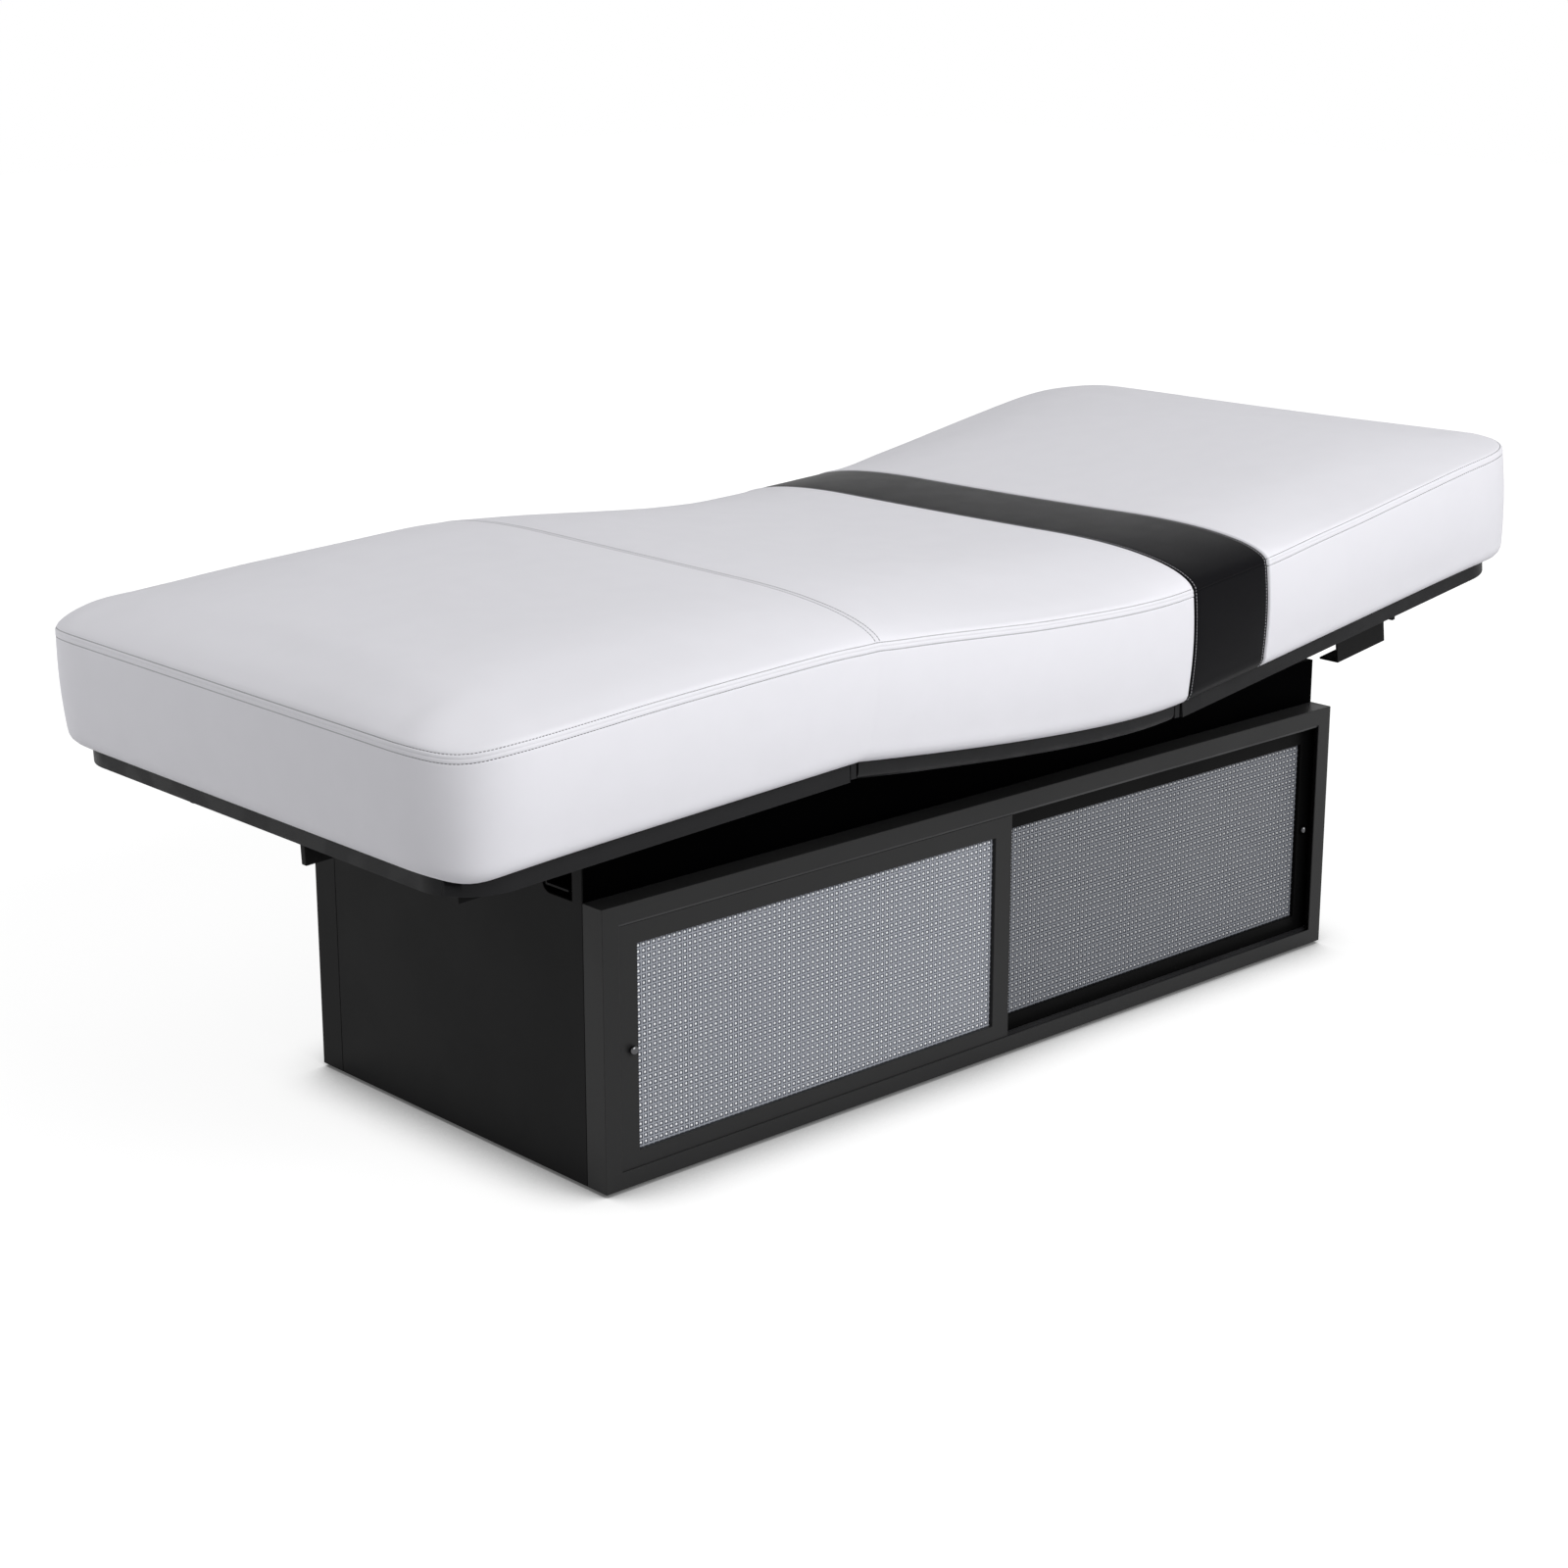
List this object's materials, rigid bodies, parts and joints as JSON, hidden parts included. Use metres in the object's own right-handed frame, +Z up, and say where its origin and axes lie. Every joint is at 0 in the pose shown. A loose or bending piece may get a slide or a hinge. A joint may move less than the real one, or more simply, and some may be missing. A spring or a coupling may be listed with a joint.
{
  "type": "treatment table",
  "caption": "Electric treatment table: a steel cabinet with sliding perforated doors and a powered lift under a padded top that bends at the knee and the hip.",
  "frame": {"origin": "on the floor under the middle of the whole table, with the top at its lowest and in its pictured shape", "axes": "+X along the table towards the head end, +Y away from the doors, +Z up"},
  "size_m": [1.8418, 0.838, 0.7125],
  "materials": {
    "powder_coat": "satin black powder coat",
    "door_coat": "satin charcoal powder coat",
    "perforated_sheet": "perforated sheet, grey",
    "bright_steel": "polished",
    "plated_steel": "zinc plated",
    "black_plastic": "matte black",
    "key_plastic": "matte grey, blank keys",
    "black_rubber": "matte black rubber",
    "board_vinyl": "board wrapped in black vinyl",
    "white_vinyl": "cool white vinyl over foam",
    "black_vinyl": "black vinyl over foam"
  },
  "bodies": {
    "base": {"door_frame": "door_coat", "foot_end_panel": "powder_coat", "head_end_panel": "powder_coat", "back_panel": "powder_coat", "front_panel": "powder_coat", "floor_plate": "powder_coat", "storage_deck": "powder_coat", "column_shroud": "powder_coat", "glide_foot_front": "black_rubber", "glide_foot_rear": "black_rubber", "glide_head_front": "black_rubber", "glide_head_rear": "black_rubber", "door_track_lower": "black_plastic", "door_track_upper": "black_plastic", "column_outer_foot": "plated_steel", "column_outer_head": "plated_steel", "lift_motor_foot": "black_plastic", "lift_motor_head": "black_plastic", "control_box": "black_plastic", "power_inlet": "black_plastic", "control_holder": "black_plastic", "hand_control": "black_plastic"},
    "lift_stage": {"column_middle_foot": "plated_steel", "column_middle_head": "plated_steel"},
    "lift": {"column_inner_foot": "plated_steel", "column_inner_head": "plated_steel", "lift_frame": "powder_coat", "seat_platform": "board_vinyl", "seat_cushion": "white_vinyl", "hip_hinge_seat_leaf": "plated_steel", "hip_hinge_pin": "bright_steel", "knee_hinge_seat_leaf": "plated_steel", "knee_hinge_pin": "bright_steel", "back_actuator": "black_plastic", "leg_actuator": "black_plastic"},
    "back": {"back_platform": "board_vinyl", "hip_hinge_back_leaf": "plated_steel", "back_frame": "powder_coat", "arm_channel_front": "powder_coat", "arm_channel_rear": "powder_coat", "back_cushion": "white_vinyl", "waist_band": "black_vinyl"},
    "leg": {"leg_platform": "board_vinyl", "knee_hinge_leg_leaf": "plated_steel", "leg_frame": "powder_coat", "foot_lug": "powder_coat", "foot_bumper": "black_rubber", "leg_cushion": "white_vinyl", "knee_fold": "white_vinyl"},
    "back_rod": {"back_actuator_rod": "bright_steel"},
    "leg_rod": {"leg_actuator_rod": "bright_steel"},
    "left_door": {"left_door_frame": "door_coat", "left_door_mesh": "perforated_sheet", "left_door_knob": "bright_steel"},
    "right_door": {"right_door_frame": "door_coat", "right_door_mesh": "perforated_sheet", "right_door_knob": "bright_steel"},
    "lift_rocker": {"lift_key": "key_plastic"},
    "back_rocker": {"back_key": "key_plastic"},
    "leg_rocker": {"leg_key": "key_plastic"}
  },
  "joints": [
    {"name": "lift_slide", "type": "slide", "parent": "base", "child": "lift", "axis": [0, 0, 1], "range_m": [0, 0.3]},
    {"name": "lift_stage_slide", "type": "slide", "parent": "base", "child": "lift_stage", "axis": [0, 0, 1], "range_m": [0, 0.151]},
    {"name": "back_tilt", "type": "hinge", "parent": "lift", "child": "back", "pos_m": [0.22282, 0, 0.4495], "axis": [0, -1, 0], "range_deg": [-8, 42], "deforming": ["waist_band"]},
    {"name": "leg_tilt", "type": "hinge", "parent": "lift", "child": "leg", "pos_m": [-0.33918, 0, 0.48], "axis": [0, 1, 0], "range_deg": [0, 30], "deforming": ["knee_fold"]},
    {"name": "back_rod_slide", "type": "slide", "parent": "lift", "child": "back_rod", "axis": [1, 0, 0], "range_m": [-0.0096, 0.0498]},
    {"name": "leg_rod_slide", "type": "slide", "parent": "lift", "child": "leg_rod", "axis": [-1, 0, 0], "range_m": [-0.0001, 0.0364]},
    {"name": "left_door_slide", "type": "slide", "parent": "base", "child": "left_door", "axis": [1, 0, 0], "range_m": [0, 0.6]},
    {"name": "right_door_slide", "type": "slide", "parent": "base", "child": "right_door", "axis": [1, 0, 0], "range_m": [-0.6, 0]},
    {"name": "lift_key_press", "type": "hinge", "parent": "base", "child": "lift_rocker", "pos_m": [-0.53518, 0.31275, 0.379], "axis": [1, 0, 0], "range_deg": [-6, 6], "stiffness_Nm_per_rad": 0.5},
    {"name": "back_key_press", "type": "hinge", "parent": "base", "child": "back_rocker", "pos_m": [-0.53518, 0.31275, 0.36], "axis": [1, 0, 0], "range_deg": [-6, 6], "stiffness_Nm_per_rad": 0.5},
    {"name": "leg_key_press", "type": "hinge", "parent": "base", "child": "leg_rocker", "pos_m": [-0.53518, 0.31275, 0.341], "axis": [1, 0, 0], "range_deg": [-6, 6], "stiffness_Nm_per_rad": 0.5}
  ],
  "couplings": [
    {"joint": "lift_stage_slide", "follows": "lift_slide", "ratio": 0.5},
    {"joint": "back_rod_slide", "follows": "back_tilt", "m_per_rad": 0.0677},
    {"joint": "leg_rod_slide", "follows": "leg_tilt", "m_per_rad": 0.0693}
  ]
}
